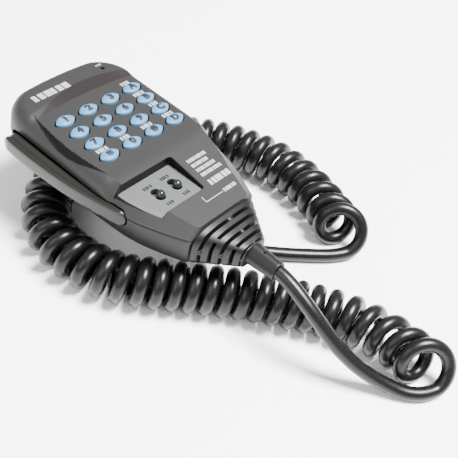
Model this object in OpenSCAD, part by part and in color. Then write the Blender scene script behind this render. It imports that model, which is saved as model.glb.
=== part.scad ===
// Hand microphone with a sixteen-key tone pad, a push-to-talk bar and a curly cord.
// Frame: X across the face, Y towards the microphone end, Z out of the face.
// The origin is the middle of the hang-up button's head, behind the rear cover.

/* [Casing] */
// Width of the casing across the face
case_w = 56.4; // [55:0.2:60]
// Height of the face above the origin
face_z = 30; // [29.5:0.1:31]
// Height of the rear face above the origin
back_z = 3; // [2.8:0.1:3.4]
// Height of the joint between the two covers
part_z = 21; // [20.8:0.1:21.2]
// Y of the microphone end of the casing
head_y = 47.5; // [47:0.5:49]
// Y of the boot end of the casing
foot_y = -46; // [-47:0.5:-46]
// Wall thickness of the covers
wall = 2; // [1.6:0.1:2.2]

/* [Keys] */
// Distance between keys across the face
key_pitch_x = 11.5; // [11.2:0.1:11.8]
// Distance between keys along the face
key_pitch_y = 8; // [7.8:0.1:8.2]
// Half the length of a key cap
key_a = 4.3; // [4.1:0.1:4.4]
// Half the width of a key cap
key_b = 2.75; // [2.6:0.05:2.8]
// Height of a key cap above the face
key_proud = 1.4; // [1:0.1:1.8]
// Y of the middle of the key pad
pad_y = 10; // [9.5:0.5:10.5]
// X of the middle of the key pad
pad_x = 1.5; // [1:0.5:2]

/* [Talk bar] */
// Radius of the talk bar's hinge pin
pin_r = 1; // [0.9:0.05:1.1]
// Clearance round the hinge pin
pin_gap = 0.05; // [0.03:0.01:0.08]
// Height of the talk bar
bar_h = 7; // [6.5:0.1:7.2]

/* [Switches] */
// Travel of the two slide switches
slide_step = 2.2; // [2:0.1:2.4]
// Radius of the round holes that the slide knobs move in
slide_hole_r = 2.1; // [2:0.05:2.2]
// Radius of the up and down buttons
button_r = 3; // [2.6:0.1:3.2]

/* [Hang-up button] */
// Radius of the head
stud_head_r = 6.5; // [6:0.25:7]
// Thickness of the head
stud_head_t = 2; // [1.8:0.1:2.4]
// Radius of the neck behind the head
stud_neck_r = 3.8; // [3.5:0.1:4]

/* [Cord] */
// Diameter of the cord
cord_d = 5.6; // [5:0.1:6]
// Outer diameter of the curled stretch
coil_d = 20; // [19:0.5:20]

/* [Hidden] */
$fn = 48;
eps = 0.01;
half_w = case_w / 2;
floor_z = -17;
corner_r = 14;
head_rise = 0.8;

// Board and switch heights
main_z = 16.2;
board_t = 1.6;
main_top = main_z + board_t;
pad_board_z = 21.8;
pad_board_top = pad_board_z + board_t;
panel_in = face_z - wall;

// Recess for the two slide switches
recess_x = 2.2;
recess_y0 = -33.5;
recess_y1 = -15.5;
recess_floor = 24.9;
plate_t = 0.5;
slide_x = [-12.6, -4];
slide_y = -25.6;

// Talk bar
bar_z = 15.8;
bar_gap = 0.4;
hinge = [-22.2, -18];
hinge_boss_r = 2.4;
slot_y0 = -23.5;
slot_y1 = 38.2;
spring_r = 3.05;
spring_wire_r = 0.3;

// Screws
case_screw_xy = [[-18.5, 31], [18.5, 31], [-13, -38.5], [13, -38.5]];
board_screw_xy = [[15, -22], [15, 19], [-15, 19]];
boss_r = 2.6;

// Cord exit and microphone opening
cord_z = 16.5;
sleeve_end = -73.5;
mic_xy = [17.8, 37.9];
button_x = 8;
button_z = 13.2;

// Ribs of the cable boot
boot_ribs = 5;
boot_pitch = 3.1;

key_names = [
    ["1", "2", "3", "a"],
    ["4", "5", "6", "b"],
    ["7", "8", "9", "c"],
    ["star", "0", "hash", "d"]
];

// Middle line of the lead, from the sleeve down to the curled stretch
lead_route = [
    [0, -73.5, 16.5], [0, -75, 16.5], [0, -78, 15.8], [-0.3, -81, 14.5], [-0.3, -85, 12.5], [0, -89, 10],
    [0.3, -93, 7.8], [0.8, -97, 5.6], [1.4, -101, 3.5], [2, -105, 1.4], [2.8, -109, -1],
    [3.8, -113, -3.6], [5, -117, -6.2], [6.6, -121, -8.6], [8.6, -125, -10.8],
    [11, -128, -12.4], [14, -130.8, -13], [17.2, -133.6, -12.4], [20.3, -135.9, -10.9]
];

// Middle line of the curled stretch, which lies on the table and runs under the casing
coil_route = [
    [22.6, -133.6, -4.2], [24.6, -131.6, -5.6], [26.2, -128.6, -6.6], [27.2, -124.6, -7],
    [27.6, -119, -7], [26.8, -112, -7],
    [25, -105, -7], [22.4, -97, -7], [18, -88.5, -7], [12.8, -80, -7], [6.5, -70.5, -7],
    [0, -61.5, -7], [-7, -53, -7], [-14.5, -44, -7], [-22, -35.5, -7], [-28.5, -27, -7],
    [-33, -17.5, -7], [-35, -7.5, -7], [-34.8, 2.5, -7], [-31.5, 12, -7], [-25.5, 20, -7],
    [-17.5, 26, -7], [-8, 29.8, -7], [2, 31.6, -7], [12, 31.6, -7], [22, 29.8, -7],
    [31.5, 26.4, -7], [40.5, 21.6, -7], [48.8, 15.4, -7], [56, 8, -7], [62, -0.4, -7],
    [66.6, -9.6, -7], [69.8, -19.4, -7], [70.6, -29.6, -7], [69.6, -39.8, -7],
    [67, -49.6, -7], [63.6, -58.2, -7], [60.8, -63.6, -6.4], [57.6, -68.6, -4.8]
];

// Middle line of the tail, from the curled stretch to the plug
tail_route = [
    [56.6, -70.6, -11.8], [53.6, -71, -13.4], [50.2, -69.1, -14.2], [46, -65.2, -14.2],
    [41.4, -61, -14.2], [37, -57, -14.2], [32.8, -53, -14.2], [29, -48.8, -14.2],
    [25.8, -44.4, -14.2], [23.4, -39.8, -14.2], [21.6, -35, -14.2], [20.4, -30.4, -14.2],
    [19.4, -25.8, -14.2], [19, -21, -14.2], [19, -16, -14.2]
];
plug_x = 19;
plug_y = -16;
plug_z = -14.2;

// ---------- shared shapes ----------

function arc(c, r, a0, a1, n) =
    [for (i = [0 : n]) let (a = a0 + (a1 - a0) * i / n) [c[0] + r * cos(a), c[1] + r * sin(a)]];

// Right half of the casing's outline, from the boot end round to the microphone end
function outline_right() = concat(
    [[17.6, foot_y], [22.2, -36], [25.6, -27.5], [27.2, -20], [half_w - 0.2, -10], [half_w, 0]],
    arc([half_w - corner_r, head_y - corner_r], corner_r, 0, 78, 7),
    [[7, head_y + 0.4]]
);

function flip(pts) = [for (i = [len(pts) - 1 : -1 : 0]) [-pts[i][0], pts[i][1]]];

module outline(inset = 0, low = -100) {
    intersection() {
        offset(delta = -inset) polygon(concat(outline_right(), flip(outline_right())));
        translate([-50, low]) square([100, 200]);
    }
}

module slice(z, inset, low = -100) {
    translate([0, 0, z]) linear_extrude(eps) outline(inset, low);
}

// Outer or, with a wall t, inner form of the front half
module front_form(t = 0) {
    hull() {
        slice(part_z - (t > 0 ? 1 : 0), t);
        slice(26.5 - t / 2, 0.3 + t, -13);
        slice(29.3 - t, 1.6 + t * 0.6, -13);
        slice(face_z + head_rise - eps - t, 3.8 + t * 0.1, -13);
        slice(23.6 - t, 1.6 + t * 0.6);
        slice(25 - eps - t, 4.2 + t * 0.4);
    }
}

module rear_form(t = 0) {
    hull() {
        slice(part_z - eps + (t > 0 ? 1 : 0), t);
        slice(14, 0.7 + t);
        slice(9 + t / 2, 3 + t * 0.8);
        slice(back_z + 3.6 + t, 5 + t * 0.6);
        slice(back_z + 0.9 + t, 7.4 + t * 0.4, -39);
        slice(back_z + t, 10 + t * 0.4, -37);
    }
}

// Lens outline with rounded tips, a long and b wide from the middle
module lens(a, b, h) {
    r = (a * a + b * b) / (2 * b);
    intersection() {
        translate([0, r - b, 0]) cylinder(h = h, r = r);
        translate([0, b - r, 0]) cylinder(h = h, r = r);
        cylinder(h = h, r = a * 0.965);
    }
}

module along_y(p) {
    translate(p) rotate([-90, 0, 0]) children();
}

module key_places() {
    for (row = [0 : 3], col = [0 : 3])
        translate([pad_x + (col - 1.5) * key_pitch_x, pad_y + (1.5 - row) * key_pitch_y, 0])
            children();
}

// Stadium prism along X, from y0 to y1 with height h from z0
module bar_slot(y0, y1, z0, h, x0, x1) {
    r = h / 2;
    translate([x0, y0 + r, z0 + r]) rotate([0, 90, 0]) cylinder(h = x1 - x0, r = r);
    translate([x0, y1 - r, z0 + r]) rotate([0, 90, 0]) cylinder(h = x1 - x0, r = r);
    translate([x0, y0 + r, z0]) cube([x1 - x0, y1 - y0 - h, h]);
}

// Unit vector along v
function unit(v) = v / norm(v);

function tangent(p, i) =
    unit(p[min(i + 1, len(p) - 1)] - p[max(i - 1, 0)]);

function ring(c, t, r, n) =
    let (u = unit(cross(t, [0, 0, 1])), v = cross(u, t))
    [for (k = [0 : n - 1]) c + r * (cos(360 * k / n) * u + sin(360 * k / n) * v)];

module tube(p, r, n) {
    m = len(p);
    pts = [for (i = [0 : m - 1]) each ring(p[i], tangent(p, i), r, n)];
    sides = [for (i = [0 : m - 2], k = [0 : n - 1])
        each [
            [i * n + k, i * n + (k + 1) % n, (i + 1) * n + k],
            [i * n + (k + 1) % n, (i + 1) * n + (k + 1) % n, (i + 1) * n + k]
        ]];
    caps = [
        [for (k = [n - 1 : -1 : 0]) k],
        [for (k = [0 : n - 1]) (m - 1) * n + k]
    ];
    polyhedron(points = pts, faces = concat(sides, caps), convexity = 6);
}

// ---------- casing ----------

module boss(xy, z0, z1, r, hole_r) {
    translate([xy[0], xy[1], z0]) difference() {
        cylinder(h = z1 - z0, r = r);
        translate([0, 0, -eps]) cylinder(h = z1 - z0 + 2 * eps, r = hole_r);
    }
}

// Sunken key panel: a long prism whose ramp climbs to the head of the casing
module panel_cut() {
    rotate([90, 0, 90]) translate([0, 0, -40]) linear_extrude(80) polygon([
        [-60, 40], [-60, 24.2 + 0.5], [-46, 24.9], [-13, face_z], [29.5, face_z],
        [33.5, face_z + head_rise], [33.5, 40]
    ]);
}

module front_cover() color([0.41, 0.41, 0.4]) difference() {
    union() {
        difference() {
            front_form();
            front_form(wall);
        }
        // Walls and floor of the switch recess
        intersection() {
            front_form();
            translate([-30, recess_y0 - 1.6, recess_floor - 1.6])
                cube([30 + recess_x + 1.6, recess_y1 - recess_y0 + 3.2, 20]);
        }
        intersection() {
            front_form();
            union() for (xy = case_screw_xy) translate([xy[0], xy[1], part_z]) cylinder(h = 9, r = boss_r);
        }
    }
    panel_cut();
    translate([0, 0, panel_in - 2]) key_places() lens(key_a + 0.45, key_b + 0.3, 10);
    translate([-60, recess_y0, recess_floor])
        cube([60 + recess_x, recess_y1 - recess_y0, 20]);
    for (x = slide_x, dy = [0, slide_step])
        translate([x, slide_y + dy, recess_floor - 3]) cylinder(h = 5, r = slide_hole_r);
    bar_slot(slot_y0, slot_y1, bar_z - bar_gap, bar_h + 2 * bar_gap, -40, -19.4);
    translate([hinge[0], hinge[1], 20]) cylinder(h = 4.4, r = pin_r + 0.01);
    translate([mic_xy[0], mic_xy[1], 20]) cylinder(h = 20, r = 0.9);
    for (xy = case_screw_xy) translate([xy[0], xy[1], part_z - 1]) cylinder(h = 3.8, r = 0.95);
    translate([-9, foot_y - 5, 10.8]) cube([18, 12, 9.9]);
}

module rear_cover() color([0.3, 0.29, 0.27]) difference() {
    union() {
        difference() {
            rear_form();
            rear_form(wall);
        }
        intersection() {
            rear_form();
            union() {
                for (xy = case_screw_xy) translate([xy[0], xy[1], 0]) cylinder(h = part_z, r = boss_r);
                for (xy = board_screw_xy) translate([xy[0], xy[1], 0]) cylinder(h = main_z, r = 2.2);
                translate([hinge[0], hinge[1], 0]) cylinder(h = bar_z - 0.4, r = 2.2);
                cylinder(h = 9, r = 3.4);
                // Saddle for the cord's jacket
                translate([-5.5, -39.8, 0]) cube([11, 3.6, cord_z]);
            }
        }
    }
    for (xy = case_screw_xy) {
        translate([xy[0], xy[1], -1]) cylinder(h = 30, r = 1.1);
        translate([xy[0], xy[1], -1]) cylinder(h = 12, r = 2);
    }
    for (xy = board_screw_xy) translate([xy[0], xy[1], main_z - 5]) cylinder(h = 6, r = 0.75);
    translate([hinge[0], hinge[1], bar_z - 3.4]) cylinder(h = 6, r = pin_r + 0.01);
    bar_slot(slot_y0, slot_y1, bar_z - bar_gap, bar_h + 2 * bar_gap, -40, -24.4);
    translate([0, 0, -1]) cylinder(h = 9, r = 1.2);
    for (x = [-button_x, button_x]) along_y([x, 40, button_z]) cylinder(h = 12, r = button_r + 0.3);
    translate([-9, foot_y - 5, 10.8]) cube([18, 12, 9.9]);
    along_y([0, -50, cord_z]) cylinder(h = 16, r = cord_d / 2 + 0.02);
}

module switch_plate() color([0.74, 0.75, 0.76]) difference() {
    intersection() {
        translate([-27, recess_y0 + 0.05, recess_floor])
            cube([27 + recess_x - 0.05, recess_y1 - recess_y0 - 0.1, plate_t]);
        hull() {
            slice(20, 5.2);
            slice(30, 5.2);
        }
    }
    for (x = slide_x, dy = [0, slide_step])
        translate([x, slide_y + dy, recess_floor - 1]) cylinder(h = 3, r = slide_hole_r);
}

// ---------- key pad and boards ----------

module keypad_mat() color([0.62, 0.78, 0.88]) {
    translate([pad_x - 21, pad_y - 16, pad_board_top]) cube([42, 32, 0.8]);
    key_places() translate([0, 0, pad_board_top]) cylinder(h = 1.5, r = 2.4);
}

module key_board() color([0.1, 0.32, 0.2])
    translate([pad_x - 22, pad_y - 18, pad_board_z]) cube([44, 36, board_t]);

module main_board() color([0.1, 0.32, 0.2]) difference() {
    translate([0, 0, main_z]) linear_extrude(board_t) polygon([
        [-10, -33], [14, -33], [20, -24], [21, 30], [14, 36.6], [-14, 36.6], [-20.5, 30],
        [-20.5, -12], [-17.5, -14], [-17.5, -24]
    ]);
    for (xy = case_screw_xy) translate([xy[0], xy[1], 0]) cylinder(h = 30, r = boss_r + 0.3);
    for (xy = board_screw_xy) translate([xy[0], xy[1], 0]) cylinder(h = 30, r = 1.1);
}

module board_header() color([0.08, 0.08, 0.08])
    translate([-8, 11, main_top]) cube([20, 2.5, pad_board_z - main_top]);

module backlight_leds() color([0.9, 0.95, 0.9])
    for (x = [-12, 14], y = [pad_y - 17.4, pad_y + 16.6])
        translate([x, y, pad_board_top]) cube([1.6, 0.8, 0.7]);

module tone_chip() color([0.12, 0.12, 0.13]) {
    translate([-6, -6, main_top]) cube([10, 7.5, 1.8]);
    for (i = [0 : 7], side = [-1, 1])
        translate([-5.4 + i * 1.2, -2.25 + side * 4.3 - 0.5, main_top]) cube([0.5, 1, 0.9]);
}

module crystal() color([0.75, 0.76, 0.78]) {
    translate([9, -6, main_top]) cylinder(h = 3, r = 1.8);
    translate([13, -6, main_top]) cylinder(h = 3, r = 1.8);
    translate([9, -7.8, main_top]) cube([4, 3.6, 3]);
}

module cord_connector() color([0.9, 0.9, 0.86])
    translate([1, -31, main_top]) cube([12, 4.4, 3.4]);

module lead_wires() color([0.7, 0.15, 0.12])
    for (i = [0 : 5])
        translate([-1.8 + i * 0.72 + 0.2, -36, cord_z + 0.2])
            rotate([0, 50 - i * 6, 0])
                rotate([-79, 0, 0]) cylinder(h = 2.6, r = 0.3, $fn = 16);

module mic_capsule() color([0.75, 0.76, 0.78])
    translate([mic_xy[0], mic_xy[1], 23.6]) cylinder(h = 3.4, r = 3);

module mic_gasket() color([0.08, 0.08, 0.08]) translate([mic_xy[0], mic_xy[1], 23])
    difference() {
        cylinder(h = 4.6, r = 3.7);
        translate([0, 0, 0.6]) cylinder(h = 3.4, r = 3.01);
        translate([0, 0, 3]) cylinder(h = 3, r = 1);
    }

// ---------- switches ----------

module ptt_switch() color([0.1, 0.1, 0.11]) difference() {
    translate([-20.5, -3, main_top]) cube([6, 10, 3.8]);
    translate([-21, 2, main_top + 2]) rotate([0, 90, 0]) cylinder(h = 3.5, r = 0.95);
}

module ptt_plunger() color([0.85, 0.25, 0.2])
    translate([-22.2, 2, main_top + 2]) rotate([0, 90, 0]) cylinder(h = 3.3, r = 0.65);

module ptt_pin() color([0.75, 0.76, 0.78])
    translate([hinge[0], hinge[1], bar_z - 3.3]) cylinder(h = 11.7, r = pin_r);

module ptt_spring() color([0.7, 0.7, 0.72]) translate([hinge[0], hinge[1], 0]) {
    for (i = [0 : 2]) translate([0, 0, 16.6 + i * 0.62])
        rotate_extrude() translate([spring_r, 0]) circle(r = spring_wire_r, $fn = 16);
    translate([spring_r, 0, 16.6]) rotate([-90, 0, 0])
        cylinder(h = 4.5, r = spring_wire_r - 0.02, $fn = 16);
}

module slide_case(x) color([0.75, 0.76, 0.78])
    translate([x - 3.7, slide_y + slide_step / 2 - 5.5, main_top]) cube([7.4, 11, 4.7]);

module lock_switch() slide_case(slide_x[0]);

module dtmf_switch() slide_case(slide_x[1]);

module slide_knob(x) color([0.04, 0.04, 0.04]) translate([x, slide_y, 0]) {
    translate([0, 0, 22.85]) cylinder(h = 3.4, r = 1.4);
    translate([0, 0, 25.75]) cylinder(h = 0.8, r = 1.75);
    intersection() {
        translate([0, 0, 26.5]) sphere(r = 1.75);
        translate([-3, -3, 26.5]) cube([6, 6, 3]);
    }
}

module lock_knob() slide_knob(slide_x[0]);

module dtmf_knob() slide_knob(slide_x[1]);

module end_switch(x) color([0.1, 0.1, 0.11]) {
    translate([x - 3, 37.6, main_z - 6]) cube([6, 3.3, 6]);
    along_y([x, 40.85, button_z]) cylinder(h = 0.6, r = 1.6);
}

module up_switch() end_switch(-button_x);

module down_switch() end_switch(button_x);

module end_button(x) color([0.2, 0.2, 0.2]) {
    along_y([x, 42.4, button_z]) cylinder(h = 5.6, r = button_r);
    // Collar that keeps the button in, cut flat where the casing curves in
    intersection() {
        along_y([x, 42.4, button_z]) cylinder(h = 1.2, r = button_r + 0.8);
        translate([x - 5, 42, button_z - 1.8]) cube([10, 2, 8]);
    }
}

module up_button() end_button(-button_x);

module down_button() end_button(button_x);

// ---------- talk bar ----------

// Outer edge of the talk bar, swelling towards the microphone end
function bar_outer() = [
    [-27.2, -23], [-28.8, -18], [-30.6, -10], [-31.9, -2], [-32.8, 6], [-33.3, 14], [-33.6, 22],
    [-33.6, 30], [-33.2, 37.2]
];

module ptt_lever() color([0.36, 0.36, 0.34]) difference() {
    union() {
        intersection() {
            translate([0, 0, bar_z]) linear_extrude(bar_h) polygon(concat(
                bar_outer(),
                [[-28, 37.2], [-28.3, 20], [-28, 0], [-26.7, -14], [-26, -23]]
            ));
            bar_slot(-23, 37, bar_z, bar_h, -40, -20);
        }
        translate([-28.4, hinge[1] - 1.8, 18.6]) cube([6.2, 3.6, 4]);
        translate([hinge[0], hinge[1], 15.85]) cylinder(h = 6.95, r = hinge_boss_r);
        // Nub that works the talk switch
        translate([-28.2, 0.8, main_top + 0.8]) cube([5.7, 2.4, 2.4]);
    }
    translate([hinge[0], hinge[1], 10]) cylinder(h = 20, r = pin_r + pin_gap);
}

// ---------- keys ----------

module key_cap(row, col) color([0.6, 0.76, 0.87])
    translate([pad_x + (col - 1.5) * key_pitch_x, pad_y + (1.5 - row) * key_pitch_y, 0]) {
        intersection() {
            translate([0, 0, 28]) lens(key_a, key_b, 6);
            translate([0, 0, face_z + key_proud - 14]) sphere(r = 14);
        }
        translate([0, 0, 27.8]) lens(key_a + 0.5, key_b + 0.5, 0.7);
        translate([0, 0, 26]) cylinder(h = 2, r = 1.9);
    }

module key_1() key_cap(0, 0);
module key_2() key_cap(0, 1);
module key_3() key_cap(0, 2);
module key_a() key_cap(0, 3);
module key_4() key_cap(1, 0);
module key_5() key_cap(1, 1);
module key_6() key_cap(1, 2);
module key_b() key_cap(1, 3);
module key_7() key_cap(2, 0);
module key_8() key_cap(2, 1);
module key_9() key_cap(2, 2);
module key_c() key_cap(2, 3);
module key_star() key_cap(3, 0);
module key_0() key_cap(3, 1);
module key_hash() key_cap(3, 2);
module key_d() key_cap(3, 3);

// ---------- fasteners and the hang-up button ----------

module screw(xy, z0, length, shank_r, head_r, head_h) {
    translate([xy[0], xy[1], z0]) difference() {
        union() {
            cylinder(h = head_h, r = head_r);
            cylinder(h = length, r = shank_r);
        }
        for (a = [0, 90]) rotate([0, 0, a]) translate([-0.3, -head_r * 0.65, -0.1])
            cube([0.6, head_r * 1.3, 0.8]);
    }
}

module case_screws() color([0.15, 0.15, 0.16])
    for (xy = case_screw_xy) screw(xy, 9.4, 14, 0.94, 1.9, 1.5);

// Screws through the main board, heads up
module board_screws() color([0.75, 0.76, 0.78])
    for (xy = board_screw_xy)
        translate([xy[0], xy[1], main_top + 1.2]) mirror([0, 0, 1])
            screw([0, 0], 0, 6, 0.74, 1.8, 1.2);

module hang_up_button() color([0.78, 0.79, 0.8]) difference() {
    union() {
        translate([0, 0, -stud_head_t / 2]) cylinder(h = stud_head_t, r = stud_head_r);
        cylinder(h = back_z, r = stud_neck_r);
    }
    translate([0, 0, -5]) cylinder(h = 10, r = 1.3);
    translate([0, 0, -stud_head_t / 2 - eps]) cylinder(h = 1.2, r = 2.4);
}

module hang_up_screw() color([0.6, 0.6, 0.62]) screw([0, 0], -0.8, 7.4, 1.19, 2.3, 0.95);

// ---------- cord entry ----------

// Block of the boot, hw and hh from its middle to its sides and t thick, with rounded corners
module boot_section(hw, hh, t) {
    rotate([90, 0, 0]) linear_extrude(t) polygon(concat(
        arc([hw - 4, hh - 3.5], 3.5, 0, 90, 4),
        arc([4 - hw, hh - 3.5], 3.5, 90, 180, 4),
        arc([4.6 - hw, 4.6 - hh], 4.6, 180, 270, 4),
        arc([hw - 4.6, 4.6 - hh], 4.6, 270, 360, 4)
    ));
}

module cable_boot() color([0.16, 0.16, 0.17]) difference() {
    union() {
        for (i = [0 : boot_ribs - 1])
            translate([0, foot_y - 0.5 - i * boot_pitch, cord_z - 0.6 + i * 0.12])
                boot_section(17.2 - i * 2.25, 9.1 - i * 0.85, 2.1);
        hull() {
            translate([0, foot_y - 0.4, cord_z - 0.6]) boot_section(14.6, 7.4, 0.2);
            translate([0, foot_y - 15, cord_z]) boot_section(6, 4.9, 0.2);
        }
        // Neck through the casing and the flange that holds it inside
        translate([-8.8, foot_y - 1, 10.95]) cube([17.6, 4.6, 9.6]);
        translate([-11, foot_y + 3.5, 12.6]) cube([22, 1.6, 8.3]);
    }
    along_y([0, -80, cord_z]) cylinder(h = 60, r = cord_d / 2 + 0.02);
}

module boot_sleeve() color([0.15, 0.15, 0.15]) difference() {
    along_y([0, sleeve_end, cord_z]) cylinder(h = foot_y - 15.3 - sleeve_end, r1 = 3.7, r2 = 4.2);
    along_y([0, -80, cord_z]) cylinder(h = 60, r = cord_d / 2 + 0.02);
}

module inner_cord() color([0.05, 0.05, 0.05])
    along_y([0, sleeve_end, cord_z]) cylinder(h = -36 - sleeve_end, r = cord_d / 2);

module cord_clamp() color([0.75, 0.76, 0.78]) difference() {
    translate([-5.5, -39.6, cord_z + 0.05]) cube([11, 3.2, 3.6]);
    along_y([0, -50, cord_z]) cylinder(h = 16, r = cord_d / 2 + 0.02);
}

// ---------- cord and plug ----------

module cord_lead() color([0.04, 0.04, 0.04]) difference() {
    tube(lead_route, cord_d / 2, 10);
    tube(coil_route, coil_d / 2, 12);
}

module cord_coil() color([0.04, 0.04, 0.04]) tube(coil_route, coil_d / 2, 12);

module cord_tail() color([0.04, 0.04, 0.04]) difference() {
    tube(tail_route, cord_d / 2, 10);
    tube(coil_route, coil_d / 2, 12);
}

module plug_boot() color([0.06, 0.06, 0.06]) hull() {
    along_y([plug_x, plug_y, plug_z]) cylinder(h = 0.5, r = 2.8, $fn = 32);
    translate([plug_x - 5, plug_y + 7, floor_z]) cube([10, 1, 7]);
}

module plug_body() color([0.85, 0.88, 0.9]) difference() {
    translate([plug_x - 5.85, plug_y + 8, floor_z]) cube([11.7, 21.5, 8.2]);
    for (i = [0 : 7])
        translate([plug_x - 3.8 + i * 1.02, plug_y + 23.4, floor_z - eps]) cube([0.46, 4.6, 1.2]);
}

module plug_contacts() color([0.85, 0.7, 0.3])
    for (i = [0 : 7])
        translate([plug_x - 3.8 + i * 1.02, plug_y + 23.4, floor_z + 0.4]) cube([0.46, 4.6, 0.79]);

module plug_latch() color([0.85, 0.88, 0.9])
    translate([plug_x, plug_y + 29, floor_z + 8.8]) rotate([-8, 0, 0]) translate([-3, 0, 0]) {
        rotate([0, 90, 0]) cylinder(h = 6, r = 0.5);
        translate([0, -17, -0.5]) cube([6, 17, 1]);
        translate([-0.4, -8, -0.5]) cube([6.8, 1.2, 1.4]);
    }

front_cover();
rear_cover();
switch_plate();
keypad_mat();
key_board();
main_board();
board_header();
backlight_leds();
tone_chip();
crystal();
cord_connector();
lead_wires();
mic_capsule();
mic_gasket();
ptt_switch();
ptt_pin();
ptt_spring();
lock_switch();
dtmf_switch();
up_switch();
down_switch();
case_screws();
board_screws();
hang_up_button();
hang_up_screw();
cable_boot();
boot_sleeve();
cord_clamp();
inner_cord();
ptt_lever();
ptt_plunger();
key_1();
key_2();
key_3();
key_a();
key_4();
key_5();
key_6();
key_b();
key_7();
key_8();
key_9();
key_c();
key_star();
key_0();
key_hash();
key_d();
lock_knob();
dtmf_knob();
up_button();
down_button();
cord_lead();
cord_coil();
cord_tail();
plug_body();
plug_contacts();
plug_boot();
plug_latch();
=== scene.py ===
"""Looks of a hand microphone with a key pad, talk bar, ribbed boot and curly cord, in the CAD frame."""

import math

import bmesh
import bpy
import numpy as np
from mathutils import Matrix, Vector


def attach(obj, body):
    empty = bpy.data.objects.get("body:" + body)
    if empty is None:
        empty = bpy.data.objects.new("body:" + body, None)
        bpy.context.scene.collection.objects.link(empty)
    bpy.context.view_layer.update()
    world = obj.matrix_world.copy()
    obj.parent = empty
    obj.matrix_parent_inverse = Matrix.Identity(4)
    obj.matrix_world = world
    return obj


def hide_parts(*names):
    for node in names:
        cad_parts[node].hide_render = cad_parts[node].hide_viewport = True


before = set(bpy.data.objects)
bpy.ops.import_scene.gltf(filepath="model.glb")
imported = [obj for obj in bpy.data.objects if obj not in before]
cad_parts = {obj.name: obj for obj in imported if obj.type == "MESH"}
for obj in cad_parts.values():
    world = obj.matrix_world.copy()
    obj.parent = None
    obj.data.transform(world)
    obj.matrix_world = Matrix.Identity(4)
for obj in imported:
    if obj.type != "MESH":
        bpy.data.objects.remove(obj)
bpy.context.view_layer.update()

MM = 0.001
CASING = "casing"
# Edges that turn by more than this many degrees stay crisp
CRISP = 34

# Casing, in millimetres as in the part's source
HALF_WIDTH = 28.2
MIDDLE_Y = 0.75
HALF_LENGTH = 47
FACE_Z = 30
BACK_Z = 3
PARTING_Z = 21
WALL = 2
SHOULDER_Z = 24
HEAD_RISE = 0.9
FACE_FALL = 5 / 33
FOLD_Y = -13
FOOT_Y = -46
FLOOR_Z = -17

# Keys
KEY_PITCH = (11.5, 8)
KEY_PAD = (1.5, 10)
KEY_HALF = (4.3, 2.75)
KEY_NAMES = ("1", "2", "3", "a", "4", "5", "6", "b", "7", "8", "9", "c", "star", "0", "hash", "d")
KEY_MARKS = "123A456B789C*0#D"

# Recess with the two slide switches
RECESS = (2.2, -33.5, -15.5, 24.9)
PLATE_TOP = 25.4
KNOB_X = (-12.6, -4)
KNOB_Y = -25.6
KNOB_STEP = 2.2

# Screws, end buttons and the hole over the microphone
SCREW_XY = ((-18.5, 31), (18.5, 31), (-13, -38.5), (13, -38.5))
BUTTON_X = (-8, 8)
BUTTON_Z = 13.2
MIC_XY = (17.8, 37.9)
KNOB_HOLE_R = 2.1

# Talk bar and its slot
BAR_ENDS = (-23, 37)
SLOT_ENDS = (-23.5, 38.2)
SLOT_FLOOR_X = -24.6
BAR_Z = 15.8
BAR_H = 7
BAR_GAP = 0.4
HINGE = (-22.2, -18)

# Cord
CORD_Z = 16.5
CORD_D = 5.6
TURN_R = 7.2
PITCH = 6.5
PLUG = (19, -16, -14.2)


# ---------- surfaces ----------

def grid_quads(rows, cols, wrap=False):
    """Quads of a grid of rows by cols points; each row closes on itself if wrap."""
    r = np.arange(rows - 1)[:, None]
    c = np.arange(cols if wrap else cols - 1)[None, :]
    n = (c + 1) % cols
    return np.stack([r * cols + c, r * cols + n, (r + 1) * cols + n, (r + 1) * cols + c], -1).reshape(-1, 4)


def step(x, low, high):
    """0 below low, 1 above high and a smooth S between: t squared times (3 less 2t)."""
    t = np.clip((x - low) / (high - low), 0, 1)
    return t * t * (3 - 2 * t)


def smooth_line(points, spacing):
    """Catmull-Rom curve through the points, each stretch cut into equal shares no longer than spacing."""
    p = np.asarray(points, float)
    q = np.vstack([2 * p[0] - p[1], p, 2 * p[-1] - p[-2]])
    shares = np.maximum(1, np.ceil(np.linalg.norm(np.diff(p, axis=0), axis=1) / spacing)).astype(int)
    i = np.repeat(np.arange(len(p) - 1), shares)
    t = (np.arange(len(i)) - np.repeat(np.cumsum(shares) - shares, shares)) / shares[i]
    t = t[:, None]
    a, b, c, d = q[i], q[i + 1], q[i + 2], q[i + 3]
    line = 0.5 * (2 * b + (c - a) * t + (2 * a - 5 * b + 4 * c - d) * t**2 + (3 * b - a - 3 * c + d) * t**3)
    return np.vstack([line, p[-1]])


def superellipse(count, half_x, half_y, power):
    """Loop of the points where |x/half_x|^power + |y/half_y|^power is 1."""
    a = 2 * np.pi * np.arange(count) / count
    c, s = np.cos(a), np.sin(a)
    scale = (np.abs(c) ** power + np.abs(s) ** power) ** (-1 / power)
    return np.stack([half_x * c * scale, half_y * s * scale], -1)


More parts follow.
